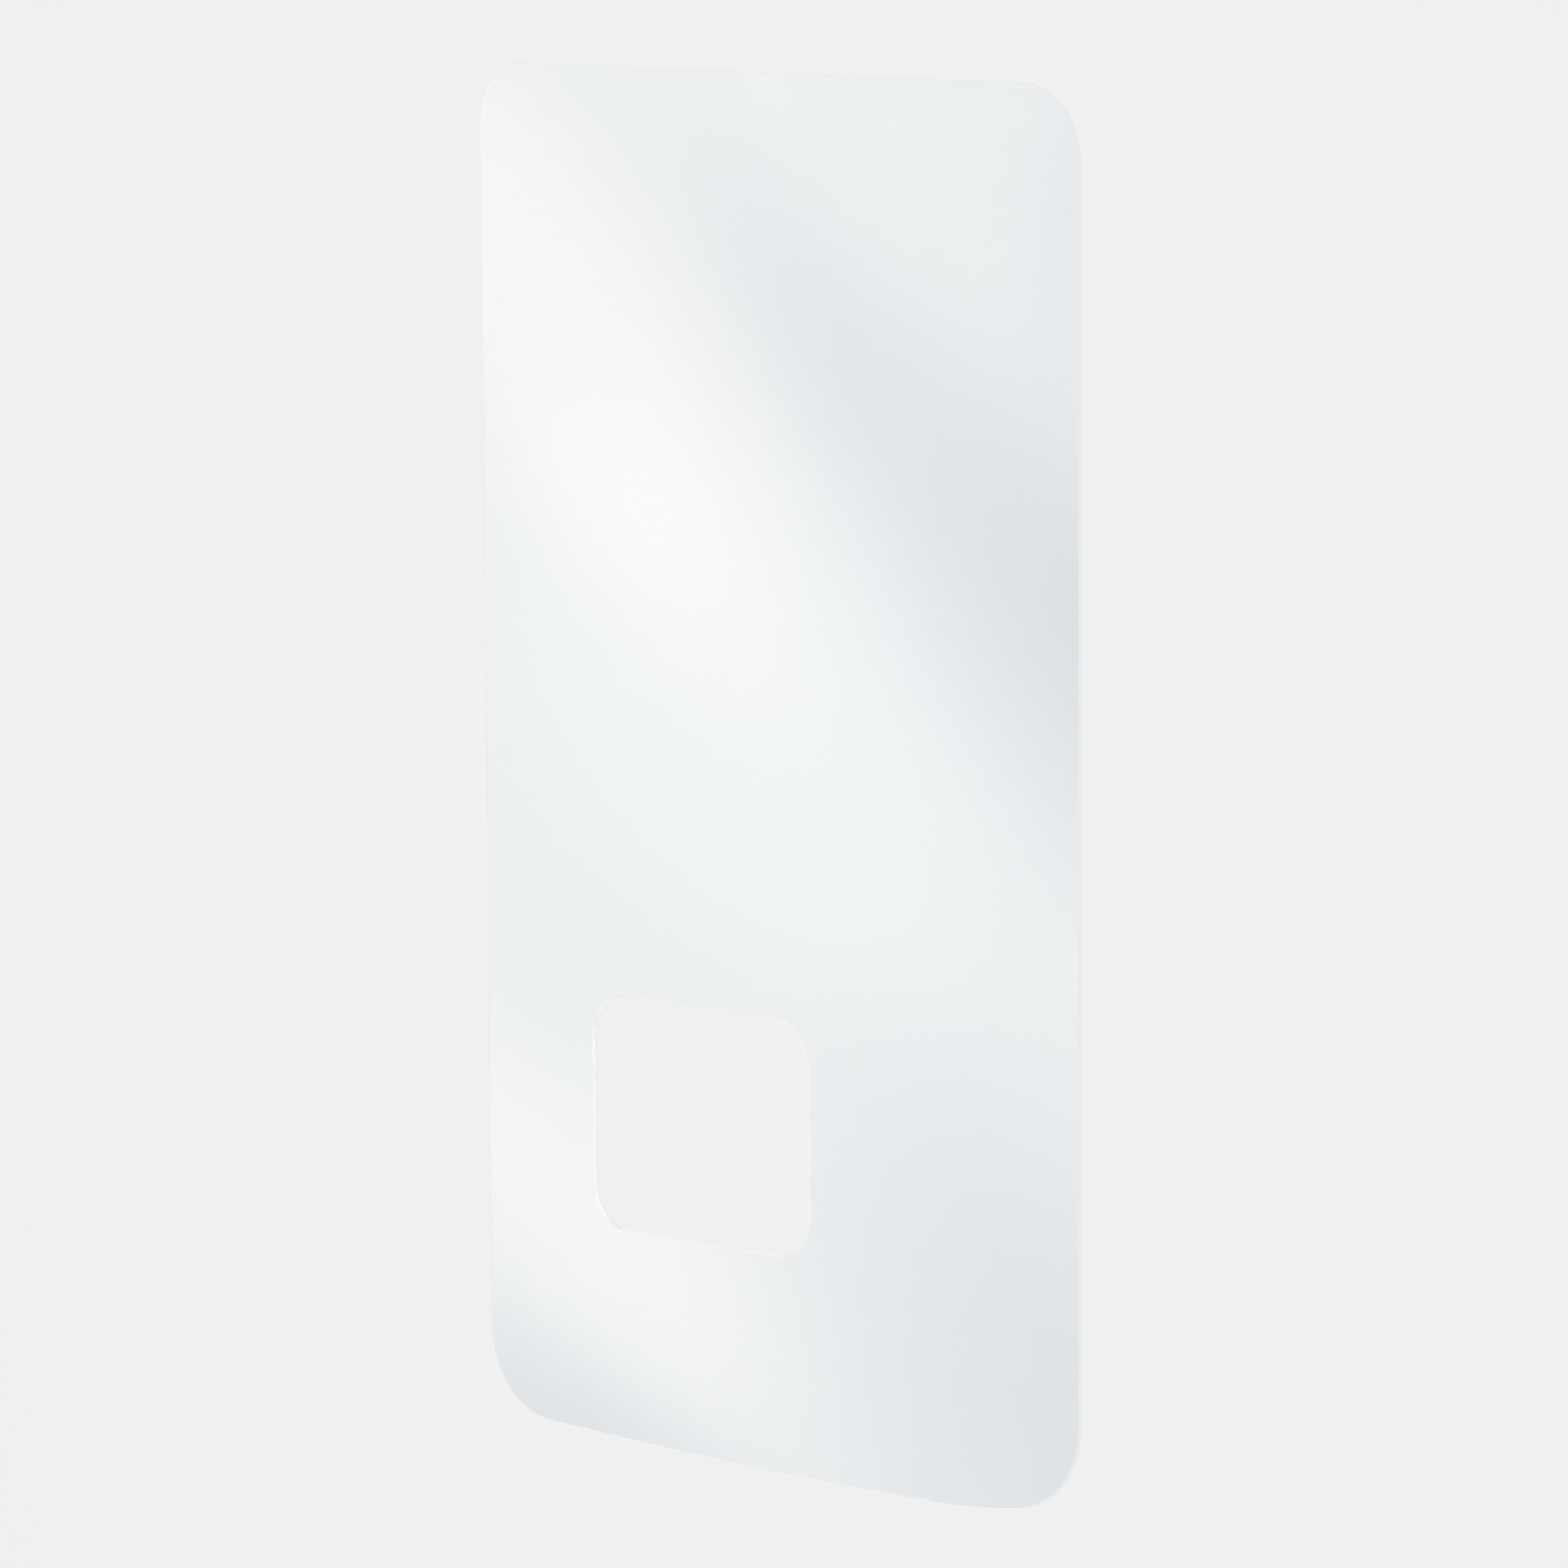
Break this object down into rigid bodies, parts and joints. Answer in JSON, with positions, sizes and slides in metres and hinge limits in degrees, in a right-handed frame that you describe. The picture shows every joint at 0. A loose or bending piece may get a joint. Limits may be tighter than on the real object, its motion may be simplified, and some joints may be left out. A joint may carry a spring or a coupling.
{
  "type": "avalanche transceiver screen protector",
  "caption": "Clear, thin stick-on film with rounded corners and a button window, cut to cover the front of an avalanche transceiver.",
  "frame": {"origin": "middle of the film's bounding box, on its adhesive face", "axes": "+X across the film to its right side, +Y along it to its top edge, +Z out of its outer face, which is up"},
  "size_m": [0.06, 0.1024, 0.0003],
  "materials": {
    "clear_film": "clear, glossy, faintly blue film"
  },
  "bodies": {
    "root": {"protector_film": "clear_film"}
  },
  "joints": []
}
